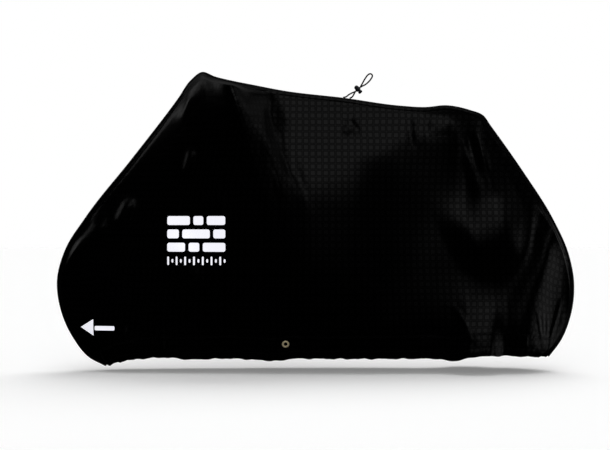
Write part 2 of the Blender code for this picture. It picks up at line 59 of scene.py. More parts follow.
# name: (x, height above the ground)
OUTLINE = {
    "front_corner": (-0.733, 0.018),
    "toe": (-0.793, 0.051),
    "toe_top": (-0.840, 0.109),
    "nose_low": (-0.889, 0.218),
    "nose": (-0.901, 0.316),
    "nose_top": (-0.872, 0.426),
    "brow": (-0.802, 0.537),
    "shin": (-0.639, 0.743),
    "brake": (-0.477, 0.954),
    "bar_front": (-0.434, 1.015),
    "bar": (-0.394, 1.043),
    "bar_back": (-0.349, 1.027),
    "grip": (-0.287, 1.012),
    "stem": (-0.225, 1.000),
    "top_front": (-0.110, 0.978),
    "top": (0.100, 0.953),
    "top_back": (0.295, 0.926),
    "saddle_nose": (0.382, 0.921),
    "saddle": (0.456, 0.927),
    "saddle_back": (0.535, 0.911),
    "tail": (0.583, 0.892),
    "tail_low": (0.609, 0.857),
    "seat_slope": (0.724, 0.695),
    "rear_brow": (0.827, 0.532),
    "rear_top": (0.882, 0.409),
    "rear": (0.901, 0.309),
    "rear_low": (0.887, 0.186),
    "heel": (0.855, 0.107),
    "rear_corner": (0.814, 0.051),
}

# Height of the hem's edge above the ground: (x, height).
HEM = (
    (-0.712, 0.025),
    (-0.650, 0.044),
    (-0.510, 0.056),
    (-0.430, 0.050),
    (-0.300, 0.054),
    (-0.125, 0.047),
    (-0.080, 0.055),
    (0.100, 0.054),
    (0.400, 0.054),
    (0.462, 0.047),
    (0.505, 0.058),
    (0.555, 0.067),
    (0.640, 0.065),
    (0.794, 0.055),
)
HEM_RIPPLES = ((0.071, 0.0013, 0.4), (0.043, 0.0007, 2.1))  # wavelength, height, phase

# Columns: where, x of the column's foot, drop from crown to seam, then the half-width at each of LEVELS.
LEVELS = (0.0, 0.03, 0.11, 0.23, 0.42, 0.63, 0.85, 1.0)
SECTIONS = (
    ("front_corner", -0.712, 0.011, 0.034, 0.035, 0.037, 0.039, 0.041, 0.043, 0.043, 0.042),
    ("toe_top", -0.676, 0.011, 0.040, 0.043, 0.048, 0.055, 0.065, 0.076, 0.080, 0.072),
    ("nose", -0.622, 0.012, 0.044, 0.049, 0.058, 0.070, 0.088, 0.104, 0.110, 0.096),
    ("brow", -0.525, 0.014, 0.048, 0.060, 0.080, 0.104, 0.130, 0.140, 0.130, 0.114),
    ("shin", -0.395, 0.014, 0.050, 0.074, 0.105, 0.136, 0.166, 0.172, 0.150, 0.126),
    ("brake", -0.255, 0.012, 0.052, 0.092, 0.146, 0.182, 0.208, 0.206, 0.168, 0.134),
    ("bar", -0.150, 0.009, 0.054, 0.140, 0.196, 0.228, 0.242, 0.230, 0.182, 0.140),
    ("grip", -0.010, 0.010, 0.056, 0.276, 0.297, 0.290, 0.276, 0.252, 0.194, 0.145),
    ("stem", 0.028, 0.012, 0.055, 0.140, 0.216, 0.254, 0.266, 0.250, 0.196, 0.146),
    ("top_front", 0.090, 0.013, 0.055, 0.072, 0.118, 0.180, 0.231, 0.236, 0.200, 0.146),
    ("top", 0.190, 0.013, 0.055, 0.068, 0.110, 0.170, 0.201, 0.205, 0.188, 0.146),
    ("top_back", 0.290, 0.013, 0.056, 0.070, 0.106, 0.125, 0.144, 0.162, 0.172, 0.142),
    ("saddle", 0.400, 0.014, 0.066, 0.068, 0.089, 0.097, 0.114, 0.140, 0.158, 0.136),
    ("saddle_back", 0.472, 0.014, 0.068, 0.069, 0.071, 0.082, 0.108, 0.130, 0.154, 0.150),
    ("tail", 0.535, 0.013, 0.062, 0.068, 0.079, 0.092, 0.110, 0.122, 0.146, 0.148),
    ("seat_slope", 0.625, 0.010, 0.048, 0.053, 0.066, 0.084, 0.102, 0.114, 0.132, 0.128),
    ("rear_brow", 0.690, 0.010, 0.046, 0.048, 0.051, 0.059, 0.074, 0.092, 0.104, 0.098),
    ("rear", 0.738, 0.013, 0.044, 0.045, 0.047, 0.052, 0.060, 0.074, 0.088, 0.076),
    ("heel", 0.772, 0.011, 0.038, 0.040, 0.045, 0.054, 0.064, 0.070, 0.066, 0.055),
    ("rear_corner", 0.794, 0.010, 0.033, 0.034, 0.036, 0.038, 0.040, 0.041, 0.041, 0.041),
)

# The solids' folds. Columns: side (-1 near, 1 far, 0 both), x and height at its head, x and height at its
# foot, width, height (a trough is negative), and for some a bow.
FOLDS = (
    # the ridge and the trough behind the end of the handlebar
    (0, -0.236, 0.98, -0.07, 0.52, 0.022, 0.01),
    (0, -0.19, 0.97, -0.01, 0.54, 0.022, -0.011),
    (1, -0.02, 0.9, 0.08, 0.78, 0.036, -0.009, 0.01),
    # the rear: a ridge like the rim of a bowl, a wide bulge below it, a valley, and the ridge along the back
    (0, 0.415, 0.475, 0.71, 0.605, 0.11, 0.04, 0.085),
    (0, 0.45, 0.06, 0.655, 0.055, 0.145, 0.055),
    (0, 0.83, 0.68, 0.64, 0.2, 0.038, -0.012),
    (0, 1.384, 1.037, 0.842, -0.633, 0.08, 0.052, 0.376),
    # under the saddle, on the near side
    (-1, 0.5, 0.795, 0.575, 0.59, 0.02, 0.007),
    (-1, 0.545, 0.815, 0.62, 0.59, 0.02, 0.008),
    # on the far side, from the saddle down to the rear
    (1, 0.3, 0.915, 0.262, 0.7, 0.03, -0.01, 0.006),
    (1, 0.5, 0.89, 0.572, 0.54, 0.03, 0.012, 0.01),
    (1, 0.446, 0.9, 0.478, 0.62, 0.03, -0.011),
    (1, 0.37, 0.33, 0.53, 0.085, 0.032, 0.014, 0.012),
    (1, 0.45, 0.33, 0.59, 0.1, 0.028, -0.011, 0.01),
    # the front: at the brow, below the handlebar and above the hem
    (0, -0.8, 0.52, -0.745, 0.59, 0.038, 0.01),
    (-1, -0.43, 0.98, -0.448, 0.84, 0.028, 0.01, 0.004),
    (1, -0.56, 0.72, -0.64, 0.48, 0.034, 0.011, 0.01),
    (0, -0.655, 0.19, -0.64, 0.04, 0.026, 0.008),
    (0, -0.52, 0.17, -0.53, 0.05, 0.026, 0.007),
    (0, -0.77, 0.22, -0.735, 0.07, 0.024, 0.008),
)
FOLD_ENDS = 0.35

# A flat round place in each hem band, where the eyelet is set.
EYELET_X = -0.1026
EYELET_HEIGHT = 0.1055
EYELET_Y = 0.160
EYELET_LEAN = 0.31
FLAT_RADIUS = 0.046
FLAT_FADE = 0.110

SOLID_CLOTH = 0.0015
EYELET_HOLE = 0.0062
EYELET_BARREL = 0.007
EYELET_FLANGE = 0.0126
EYELET_FLANGE_DEPTH = 0.0016

CORD = 0.0053
CORD_SPACE = 0.0003
CORD_LEAN = 0.85  # how far a leaning end has to stand off the cloth, in radii
CORD_EXITS = (0.0972, 0.1189)
TOGGLE_X = 0.1483
TOGGLE_HEIGHT = 0.9846
TOGGLE_TILT = math.radians(41.0)
TOGGLE_RADIUS = 0.0084
TOGGLE_OPEN_END = 0.006
TOGGLE_SHUT_END = 0.015
TOGGLE_BORE = 0.0069
TOGGLE_BORE_DEPTH = 0.0155
TOGGLE_TRAVEL = 0.0045
BUTTON_RADIUS = 0.0076
BUTTON_LENGTH = 0.0065
# The cord's way. Columns: distance along the strands from the toggle's middle, share of the way from the
# middle plane to a strand, distance towards the button.
CORD_WAY = (
    (-0.048, -1, -0.0074),
    (-0.0369, -1, -0.0068),
    (-0.026, -1, -0.0046),
    (-0.017, -1, -0.0016),
    (-0.009, -1, 0),
    (0, -1, 0),
    (0.0085, -1, 0),
    (0.018, -1, -0.0026),
    (0.03, -0.9, -0.007),
    (0.044, -0.6, -0.0118),
    (0.056, -0.4, -0.0146),
    (0.064, -0.2, -0.0146),
    (0.0694, -0.1, -0.011),
    (0.0706, 0, -0.006),
    (0.068, 0.1, -0.0014),
    (0.06, 0.3, 0.0022),
    (0.05, 0.5, 0.0044),
    (0.038, 0.7, 0.0052),
    (0.027, 0.9, 0.0042),
    (0.017, 1, 0.0016),
    (0.0085, 1, 0),
    (0, 1, 0),
    (-0.0085, 1, 0),
    (-0.016, 1, 0.0016),
    (-0.024, 1, 0.0048),
    (-0.032, 1, 0.007),
)

# ---- sizes of what only shows here
SIDES = {"near": -1, "far": 1}  # which way along Y each lies
COLUMNS = {"near": 340, "far": 280}
SIDE_ROWS = {"near": 124, "far": 96}
BAND_ROWS = 16
GUSSET_ROWS = 22
ROW_CROWDING = 0.6  # how much closer together a side's rows are near its seams
RELIEF_START = 0.06  # share of the way down a side over which its folds set in
SMOOTH_SHEET = 60  # degrees: a cloth piece's edges that are sharper than this stay sharp
SMOOTH_SMALL = 40
SMOOTH_TURNED = 38

SEAM_FOLD = 0.009  # width of the folded edge that is stitched down along a seam
SEAM_FOLD_DEPTH = 0.0009
SEAM_FOLD_STEP = 0.0022  # distance over which the folded edge ends
SEAM_ROWS = (0.0065, 0.002)  # distances from a seam at which it is stitched
STITCH_DENT = 0.0004
STITCH_DENT_WIDTH = 0.0012
SEAM_LAP = 0.003  # how far a piece reaches under the folded edge of the next
LAP_DROP = 0.0002
SEAM_GROOVE = 0.011  # how far the top seam draws the cloth in
GROOVE_DOWN = (0.0012, 0.015)  # from how far below the seam, and over what distance, the groove deepens
GROOVE_UP = (0.016, 0.1)  # and from where and over what distance it ends
TOP_SEAM = (1.02, 2.22)  # metres along the crown between which the groove has its full depth
TOP_SEAM_FADE = 0.06
GROOVE_SHARE = 0.25  # share of that depth elsewhere
CASING = 0.024  # height of the elastic's casing along the hem
CASING_DEPTH = 0.001
CASING_STEP = 0.003
CALM = 0.02  # no gathers this near to an eyelet's middle, and all of them from twice as far

# Waves. Columns: wavelength, height, phase, then how far, how often and from what phase the wave sways.
PUCKER_WAVES = ((0.019, 1.0, 0.0, 1.3, 37.0, 0.0), (0.031, 0.6, 2.0, 0.0, 0.0, 0.0))
PUCKER_DEPTH = 0.0008
PUCKER_DEPTH_GUSSET = 0.0006
PUCKER_START = 0.010  # distance from a seam over which its puckers set in
PUCKER_REACH = 0.015  # and by which they have mostly faded
LOW_PUCKERS = (1.07, 0.4)  # stretch and shift that put the band's seam out of step with the top seam
LOW_PUCKER_SHARE = 0.7
GATHER_WAVES = ((0.034, 0.0011, 0.0, 1.7, 23.0, 0.0), (0.019, 0.0006, 0.0, 2.2, 31.0, 1.0))
GATHER_REACH = 0.034  # how far up from the hem the gathers reach

# Fine creases of the near side, with FOLDS' columns from x on.
CREASES = (
    # in the lit panel
    (0.128, 0.892, 0.098, 0.808, 0.014, -0.0085),
    (0.126, 0.872, 0.15, 0.806, 0.01, -0.006),
    (-0.07, 0.93, 0.062, 0.918, 0.012, -0.0045),
    (0.322, 0.915, 0.336, 0.755, 0.008, -0.006, 0.004),
    (0.345, 0.915, 0.352, 0.76, 0.005, 0.0034),
    (0.361, 0.91, 0.372, 0.775, 0.0055, 0.0034),
    (0.38, 0.862, 0.475, 0.85, 0.022, 0.006),
    # beside the lower bulge of the rear
    (0.33, 0.1, 0.43, 0.11, 0.026, 0.0085),
    (0.455, 0.255, 0.56, 0.085, 0.0085, 0.0045),
    (0.455, 0.2, 0.545, 0.1, 0.007, 0.0038),
    (0.475, 0.13, 0.515, 0.07, 0.006, 0.003),
    # the black valley of the rear and the streaks under the saddle
    (0.806, 0.6, 0.764, 0.25, 0.034, 0.011),
    (0.497, 0.845, 0.54, 0.69, 0.011, 0.005),
    (0.546, 0.85, 0.606, 0.67, 0.012, 0.0058),
    (0.52, 0.84, 0.565, 0.69, 0.01, -0.003),
    (0.35, 0.905, 0.362, 0.815, 0.005, 0.003),
    (0.368, 0.9, 0.384, 0.8, 0.0055, -0.0026),
    # gathers at the rear end of the hem
    (0.752, 0.24, 0.785, 0.06, 0.006, 0.0042),
    (0.776, 0.23, 0.788, 0.06, 0.0055, 0.0038),
    (0.798, 0.215, 0.791, 0.06, 0.0055, 0.0034),
    (0.858, 0.275, 0.795, 0.075, 0.0075, 0.0045),
    (0.715, 0.145, 0.717, 0.08, 0.006, 0.0034),
    # small folds over what stands out below the handlebar and at the front wheel
    (-0.43, 0.965, -0.458, 0.868, 0.011, 0.006),
    (-0.413, 0.785, -0.446, 0.658, 0.0165, 0.019),
    (-0.625, 0.618, -0.688, 0.488, 0.023, 0.024),
    (-0.852, 0.38, -0.702, 0.553, 0.024, 0.0215),
    (-0.88, 0.33, -0.8, 0.48, 0.022, 0.01),
    (-0.47, 0.5, -0.4, 0.25, 0.04, 0.016),
    (-0.651, 0.165, -0.655, 0.085, 0.006, 0.0074),
    (-0.519, 0.135, -0.521, 0.07, 0.006, 0.007),
    # the folds that run down from the end of the handlebar
    (-0.15, 0.99, -0.148, 0.88, 0.016, -0.005),
    (-0.162, 0.945, -0.142, 0.765, 0.012, -0.012),
    (-0.142, 0.815, -0.068, 0.64, 0.012, -0.01),
    (-0.14, 0.7, -0.095, 0.5, 0.012, 0.0045),
)
ALL_FOLDS = FOLDS + tuple((-1, *crease) for crease in CREASES)


# ---- smooth curves
def spline(knots, values, at, limited=True):
    """Values of a smooth curve at the places `at`. Its knots' values are rows of `values`."""
    knots = np.asarray(knots, float)
    values = np.asarray(values, float)
    steps = np.diff(knots).reshape((-1,) + (1,) * (values.ndim - 1))
    rises = np.diff(values, axis=0) / steps
    before, after = rises[:-1], rises[1:]
    if limited:
        near, far = 2 * steps[1:] + steps[:-1], steps[1:] + 2 * steps[:-1]
        same_way = before * after > 0
        safe_before = np.where(same_way, before, 1.0)
        safe_after = np.where(same_way, after, 1.0)
        inner = np.where(same_way, (near + far) / (near / safe_before + far / safe_after), 0.0)
    else:
        inner = (before * steps[1:] + after * steps[:-1]) / (steps[1:] + steps[:-1])
    slopes = np.concatenate([rises[:1], inner, rises[-1:]])
    at = np.asarray(at, float)
    place = np.clip(np.searchsorted(knots, at, side="right") - 1, 0, len(knots) - 2)
    width = knots[place + 1] - knots[place]
    t = np.clip((at - knots[place]) / width, 0, 1)
    before, after = place, place + 1
    if values.ndim > 1 and values.shape[1:] == at.shape:  # each place has knots of its own
        before, after = (before, np.arange(at.size)), (after, np.arange(at.size))
    elif values.ndim > 1:
        width, t = width[:, None], t[:, None]
    low, high = values[before], values[after]
    low_slope, high_slope = slopes[before] * width, slopes[after] * width
    return (
        low * (1 + 2 * t) * (1 - t) ** 2
        + low_slope * t * (1 - t) ** 2
        + high * t * t * (3 - 2 * t)
        + high_slope * t * t * (t - 1)
    )


def fade(t):
    """0 up to t = 0, 1 from t = 1, and smooth between."""
    t = np.clip(t, 0, 1)
    return t * t * (3 - 2 * t)


def run_along(points):
    """Each point's distance from the first, along the line through them."""
    return np.concatenate([[0], np.cumsum(np.linalg.norm(np.diff(points, axis=0), axis=1))])


def unit(vectors):
    return vectors / np.linalg.norm(vectors, axis=-1)[..., None]


# ---- the cloth's shape
OUTLINE_POINTS = np.array(list(OUTLINE.values()))
OUTLINE_AT = run_along(OUTLINE_POINTS)
CROWN_LENGTH = OUTLINE_AT[-1]
SECTION_AT = [OUTLINE_AT[list(OUTLINE).index(row[0])] for row in SECTIONS]
SECTION_SIZES = np.array([row[1:] for row in SECTIONS])
COLUMN_SAMPLES = 600


def crown_line(u):
    return spline(OUTLINE_AT, OUTLINE_POINTS, u, limited=False)


def column(u):
    """At places u along the crown: the crown, the way inwards, the column's foot, and the section's sizes."""
    u = np.clip(u, 0, CROWN_LENGTH)
    crown = crown_line(u)
    after, before = np.minimum(u + SLOPE_STEP, CROWN_LENGTH), np.maximum(u - SLOPE_STEP, 0)
    ahead = unit(crown_line(after) - crown_line(before))
    inward = np.stack([ahead[:, 1], -ahead[:, 0]], axis=1)
    sizes = spline(SECTION_AT, SECTION_SIZES, u)
    foot_x = sizes[:, 0]
    hem_x, hem_height = np.transpose(HEM)
    foot_height = spline(hem_x, hem_height, foot_x)
    for wavelength, height, phase in HEM_RIPPLES:
        foot_height += height * np.sin(2 * math.pi * foot_x / wavelength + phase)
    return crown, inward, np.stack([foot_x, foot_height], axis=1), sizes[:, 1:]


def column_length(u):
    crown, inward, foot, sizes = column(u)
    return np.linalg.norm(foot - crown - inward * sizes[:, :1], axis=1)


def relief(side, x, height):
    """How far the folds push a side out at (x, height)."""
    total = np.zeros_like(x)
    for which, head_x, head_height, foot_x, foot_height, width, push, *bow in ALL_FOLDS:
        run = np.array([foot_x - head_x, foot_height - head_height])
        length = np.linalg.norm(run)
        run /= length
        along = ((x - head_x) * run[0] + (height - head_height) * run[1]) / length
        across = (x - head_x) * run[1] - (height - head_height) * run[0]
        across = across - sum(bow) * 4 * along * (1 - along)
        ends = fade(along / FOLD_ENDS) * fade((1 - along) / FOLD_ENDS)
        here = (which == 0) | (side == which)
        total += np.where(here, push * ends * np.exp(-((across / width) ** 2)), 0.0)
    return total


def cover_point(u, s):
    """Points of the cloth's outer face, u along the crown and s across it, negative on the near side."""
    crown, inward, foot, sizes = column(u)
    side = np.where(s < 0, -1, 1)
    across = np.minimum(np.abs(s) / GUSSET, 1.0)
    seam = crown + inward * (sizes[:, 0] * across**GUSSET_DROP)[:, None]
    length = np.linalg.norm(foot - seam, axis=1)
    down = np.clip((np.abs(s) - GUSSET) / length, 0, 1)
    flat = seam + (foot - seam) * down[:, None]
    x, height = flat[:, 0], flat[:, 1]
    on_gusset = sizes[:, 1] * (1 - (1 - across) ** GUSSET_SPREAD)
    half_width = np.where(down > 0, spline(LEVELS, sizes[:, 1:].T, down), on_gusset)
    half_width = half_width + relief(side, x, height) * fade(down / RELIEF_START) * (down > 0)
    from_eyelet = np.hypot(x - EYELET_X, height - EYELET_HEIGHT)
    flatness = 1 - fade((from_eyelet - FLAT_RADIUS) / (FLAT_FADE - FLAT_RADIUS))
    flat_y = EYELET_Y + EYELET_LEAN * (height - EYELET_HEIGHT)
    half_width = half_width + (flat_y - half_width) * flatness * (down > 0.5)
    return np.stack([x, side * half_width, height - TOP_HEIGHT], axis=1)


def even_columns(count):
    """Places along the crown, even by the mean of the crown's and the hem's lengths."""
    u = np.linspace(0, CROWN_LENGTH, COLUMN_SAMPLES)
    crown, _, foot, _ = column(u)
    run = run_along(crown) + run_along(foot)
    return np.interp(np.linspace(0, 1, count + 1), run / run[-1], u)


def band_top(u):
    """Girth, from the crown, at which a side ends and its hem band starts."""
    length = column_length(u)
    return GUSSET + length - np.minimum(BAND, CORNER_SHARE * length)


def linked(name, data):
    """A new object in the scene."""
    thing = bpy.data.objects.new(name, data)
    bpy.context.collection.objects.link(thing)
    return thing


# ---- camera
PHOTO_WIDTH = 610  # pixels
PIXELS_PER_METRE = 286
SENSOR = 36  # millimetres
CAMERA_DISTANCE = 5.5
CAMERA_X = -0.0367
CAMERA_HEIGHT = 0.51  # above the ground


def add_camera():
    data = bpy.data.cameras.new("camera")
    data.sensor_width = SENSOR
    data.lens = SENSOR * CAMERA_DISTANCE / (PHOTO_WIDTH / PIXELS_PER_METRE)
    camera = linked("camera", data)
    camera.location = (CAMERA_X, -CAMERA_DISTANCE, CAMERA_HEIGHT - TOP_HEIGHT)
    camera.rotation_euler = (math.pi / 2, 0, 0)
    bpy.context.scene.camera = camera


add_camera()


# ---- materials
class Tree:
    """Short names for building the nodes of a material or of the world."""

    def __init__(self, owner):
        owner.use_nodes = True
        self.owner = owner
        self.nodes = owner.node_tree.nodes
        self.links = owner.node_tree.links

    def add(self, kind, inputs=(), **settings):
        node = self.nodes.new(kind)
        for key, value in settings.items():
            setattr(node, key, value)
        for key, value in dict(inputs).items():
            self.feed(node.inputs[key], value)
        return node

    def feed(self, socket, value):
        if isinstance(value, bpy.types.NodeSocket):
            self.links.new(value, socket)
        else:
            socket.default_value = value

    def place(self):
        """Where a point is on its piece, in metres."""
        return self.add("ShaderNodeTexCoord").outputs["Object"]

    def math(self, operation, a, b=0.0):
        return self.add("ShaderNodeMath", {0: a, 1: b}, operation=operation).outputs[0]

    def ramp(self, value, low, high, to_low=0.0, to_high=1.0):
        inputs = {"Value": value, "From Min": low, "From Max": high, "To Min": to_low, "To Max": to_high}
        return self.add("ShaderNodeMapRange", inputs, interpolation_type="SMOOTHSTEP").outputs[0]

    def noise(self, vector, scale, detail=2.0, roughness=0.5):
        inputs = {"Vector": vector, "Scale": scale, "Detail": detail, "Roughness": roughness}
        return self.add("ShaderNodeTexNoise", inputs).outputs[0]

    def mix(self, factor, a, b):
        return self.add("ShaderNodeMix", {0: factor, 6: a, 7: b}, data_type="RGBA").outputs[2]

    def bump(self, height, distance, strength, under=None):
        node = self.add("ShaderNodeBump", {"Height": height, "Distance": distance, "Strength": strength})
        if under is not None:
            self.feed(node.inputs["Normal"], under)
        return node.outputs[0]

    def set(self, **values):
        shader = self.nodes["Principled BSDF"]
        for key, value in values.items():
            self.feed(shader.inputs[key.replace("_", " ")], value)


def new_material(name):
    return Tree(bpy.data.materials.new(name))


def grained(name, scale, detail, dark, light, distance, strength):
    """A material whose tone and surface follow a fine grain. Gives its tree and the grain."""
    t = new_material(name)
    grain = t.noise(t.place(), scale, detail)
    t.set(Base_Color=t.mix(grain, dark, light), Normal=t.bump(grain, distance, strength))
    return t, grain


RIPSTOP = 0.0222  # pitch of the grid woven into the cloth
SQUARE_EDGE = (0.56, 0.68)  # from 0 in a cell's middle to 1 at its border: where its bright square ends
LINE_EDGE = (0.84, 0.94)  # and where the thicker threads start


def cloth_material():
    t = new_material("ripstop_cloth")
    uv = t.add("ShaderNodeUVMap", uv_map="weave").outputs[0]
    split = t.add("ShaderNodeSeparateXYZ", {0: uv})
    place = t.place()
    squares, lines = [], []
    for way in split.outputs[:2]:
        cell = t.math("FRACT", t.math("DIVIDE", way, RIPSTOP))
        from_middle = t.math("MULTIPLY", t.math("ABSOLUTE", t.math("SUBTRACT", cell, 0.5)), 2.0)
        squares.append(t.ramp(from_middle, *SQUARE_EDGE, 1.0, 0.0))
        lines.append(t.ramp(from_middle, *LINE_EDGE))
    line = t.math("MULTIPLY", t.math("ADD", *lines), 0.5)
    bright = t.math("MAXIMUM", t.math("MULTIPLY", *squares), t.math("MULTIPLY", line, 0.9))
    patchy = t.noise(place, 7.0, 3.0)
    tone = t.math("ADD", t.math("MULTIPLY", bright, 0.5), t.math("MULTIPLY", patchy, 0.5))
    colour = t.mix(tone, (0.0003, 0.0003, 0.0003, 1), (0.0009, 0.0009, 0.001, 1))
    rough = t.math("ADD", 0.24, t.math("MULTIPLY", patchy, 0.05))
    grain = t.noise(place, 900.0, 1.0)
    fine = t.noise(place, 34.0, 4.0, 0.55)
    normal = t.bump(fine, 0.004, 0.10)
    normal = t.bump(t.math("ADD", bright, t.math("MULTIPLY", grain, 0.3)), 0.0003, 0.25, normal)
    between = t.math("MULTIPLY", t.math("SUBTRACT", 1.0, bright), 0.62)  # dulls the cloth between the squares
    t.set(Base_Color=colour, Roughness=rough, Normal=normal, Metallic=between, Specular_IOR_Level=0.25)
    return t.owner


def print_material():
    t, _ = grained("print_painted_glow", 700.0, 2.0, (0.78, 0.78, 0.83, 1), (0.88, 0.88, 0.93, 1), 0.0004, 0.2)
    # The emission is a painted glow: it stands in for the light that the print sends back, so it shows white
    # even where little light falls on it.
    t.set(Roughness=0.38, Emission_Color=(0.86, 0.86, 0.93, 1), Emission_Strength=0.72)
    return t.owner


def brass_material():
    t, wear = grained("brass", 260.0, 3.0, (0.80, 0.66, 0.38, 1), (0.90, 0.80, 0.56, 1), 0.0002, 0.2)
    t.set(Metallic=0.35, Roughness=t.ramp(wear, 0.3, 0.7, 0.2, 0.34))
    return t.owner


def plastic_material():
    dark, light = (0.007, 0.008, 0.010, 1), (0.014, 0.015, 0.019, 1)
    t, grain = grained("toggle_plastic", 1500.0, 2.0, dark, light, 0.0002, 0.3)
    t.set(Roughness=t.ramp(grain, 0.2, 0.8, 0.34, 0.5))
    return t.owner


STRANDS = 8.0  # of the braid, round the cord
YARN = 0.0052  # length along the cord in which the slant of its yarns repeats


def cord_material():
    """A braid: strands that cross at a slant, with a painted shade that darkens the grooves between them."""
    t = new_material("braided_cord")
    uv = t.add("ShaderNodeUVMap", uv_map="braid").outputs[0]
    split = t.add("ShaderNodeSeparateXYZ", {0: uv})
    along, around = split.outputs[0], split.outputs[1]

    def strand(sign):
        around_by = t.math("MULTIPLY", around, STRANDS * sign)
        turn = t.math("ADD", t.math("MULTIPLY", along, 1 / YARN), around_by)
        return t.math("ABSOLUTE", t.math("SINE", t.math("MULTIPLY", turn, math.pi)))

    braid = t.math("MAXIMUM", strand(0.5), strand(-0.5))
    # The colour follows the braid's height: darker in the grooves between the strands, a painted shade, and
    # lighter on their crests.
    colour = t.mix(braid, (0.0015, 0.0015, 0.0015, 1), (0.006, 0.006, 0.0065, 1))
    t.set(Base_Color=colour, Roughness=0.80, Normal=t.bump(braid, 0.0005, 0.8), Sheen_Weight=0.1)
    return t.owner


def thread_material():
    dark, light = (0.0012, 0.0012, 0.0013, 1), (0.006, 0.006, 0.0065, 1)
    t, _ = grained("thread", 2400.0, 2.0, dark, light, 0.0002, 0.5)
    t.set(Roughness=0.55)
    return t.owner


def floor_material():
    t = new_material("floor")
    mottle = t.noise(t.place(), 1.4)
    t.set(Base_Color=t.mix(mottle, (0.795, 0.795, 0.795, 1), (0.805, 0.805, 0.805, 1)), Roughness=0.9)
    t.set(Emission_Color=(1.0, 1.0, 1.0, 1), Emission_Strength=0.21, Specular_IOR_Level=0.0)
    return t.owner


# ---- meshes
def smooth(mesh, sharp):
    """Smooth, but for edges that turn by more than `sharp` degrees."""
    mesh.shade_smooth()
    mesh.set_sharp_from_angle(angle=math.radians(sharp))


def object_of(name, vertices, faces, sharp=None, uv_name=None, uvs=()):
    """A new mesh object, flat where `sharp` isn't given. `uvs` has a row for each corner of each face."""
    mesh = bpy.data.meshes.new(name)
    mesh.from_pydata(np.asarray(vertices).tolist(), [], [list(map(int, face)) for face in faces])
    if uv_name:
        mesh.uv_layers.new(name=uv_name).data.foreach_set("uv", np.asarray(uvs, float).ravel())
    if sharp:
        smooth(mesh, sharp)
    return linked(name, mesh)


def face_outwards(thing):
    bm = bmesh.new()
    bm.from_mesh(thing.data)
    bmesh.ops.recalc_face_normals(bm, faces=bm.faces)
    bm.to_mesh(thing.data)
    bm.free()


def corners(grid):
    """The four corners of each cell of a grid, in order round the cell."""
    return np.stack([grid[:-1, :-1], grid[1:, :-1], grid[1:, 1:], grid[:-1, 1:]], axis=2)


def tube_faces(index, capped):
    """Faces of a tube through rings of point numbers, with caps or else closed on itself."""
    grid = np.pad(index, ((0, 0 if capped else 1), (0, 1)), mode="wrap")
    sides = corners(grid.T).swapaxes(0, 1).reshape(-1, 4)
    return [*sides, index[0][::-1], index[-1]] if capped else [*sides]


def sheet_faces(columns, rows, start=0):
    """Faces of a thin closed sheet: a grid of outer points, as many inner points, and a rim between them."""
    count = columns * rows
    index = np.arange(count).reshape(columns, rows) + start
    quads = corners(index).reshape(-1, 4)
    border = np.concatenate([index[:-1, 0], index[-1, :-1], index[:0:-1, -1], index[0, :0:-1]])
    after = np.roll(border, -1)
    rim = np.stack([border, border + count, after + count, after], axis=-1)
    return np.concatenate([quads, quads[:, ::-1] + count, rim])


# ---- cloth pieces
WEAVE_X = 0.1  # where the weave's own coordinates are in step with x and z
WEAVE_Z = -0.45
WEAVE_SLOPE = 0.8  # how much of the way down a slope counts


def measured(steps, at, start):
    """Lengths run down the columns of a grid, each in step with `at` where that is nearest to `start`."""
    run = np.concatenate([np.zeros((1, steps.shape[1])), np.cumsum(steps, axis=0)])
    nearest, each = np.argmin(np.abs(at - start), axis=0), np.arange(at.shape[1])
    return run - run[nearest, each] + at[nearest, each]


def weave_places(outer):
    """The weave's own coordinates: its threads run level and upright, nearly as far apart on a slope."""
    x, y, _ = np.moveaxis(np.diff(outer, axis=0), 2, 0)
    weave_u = measured(np.sign(x) * np.hypot(x, y), outer[:, :, 0], WEAVE_X)
    _, y, z = np.moveaxis(np.diff(outer, axis=1), 2, 0)
    fall = np.sign(z) * np.maximum(np.abs(z), WEAVE_SLOPE * np.hypot(y, z))
    return weave_u, measured(fall.T, outer[:, :, 2].T, WEAVE_Z).T


def cloth_sheet(name, u, s, raise_by, sign=1, lengthwise=False):
    """A thin closed sheet on the grid u by s, its outer face moved out by raise_by(points, u, s)."""
    columns, rows = s.shape
    u = np.repeat(u[:, None], rows, axis=1)
    points = cover_point(u.ravel(), s.ravel()).reshape(columns, rows, 3)
    normal = unit(np.cross(np.gradient(points, axis=0), np.gradient(points, axis=1))) * sign
    outer = points + normal * raise_by(points, u, s)[:, :, None]
    inner = points - normal * CLOTH
    weave = np.stack((u, s) if lengthwise else weave_places(outer), axis=-1).reshape(-1, 2)
    faces = sheet_faces(columns, rows)[:, ::sign]
    vertices = np.concatenate([outer.reshape(-1, 3), inner.reshape(-1, 3)])
    uvs = np.concatenate([weave, weave])[faces.ravel()]
    return object_of(name, vertices, faces, SMOOTH_SHEET, "weave", uvs)


def ripples(at, waves):
    """The sum of some waves along `at`."""
    total = 0.0
    for wavelength, height, phase, sway, rate, start in waves:
        swaying = phase + sway * np.sin(at * rate + start)
        total = total + height * np.sin(2 * math.pi * at / wavelength + swaying)
    return total


def puckers(u, distance, depth=PUCKER_DEPTH):
    """Small ripples that a seam gathers into the cloth beside it."""
    reach = np.exp(-((distance / PUCKER_REACH) ** 2))
    return depth * ripples(u, PUCKER_WAVES) * reach * fade(distance / PUCKER_START)


def low_puckers(u, distance):
    """The same beside the seam between a side and its band."""
    return puckers(u * LOW_PUCKERS[0] + LOW_PUCKERS[1], distance)


def seam_fold(distance):
    """The folded edge that is stitched down beside a seam."""
    inside = fade((SEAM_FOLD - distance) / SEAM_FOLD_STEP)
    stitch = np.exp(-(((distance - SEAM_ROWS[0]) / STITCH_DENT_WIDTH) ** 2)) * STITCH_DENT
    return SEAM_FOLD_DEPTH * inside - stitch


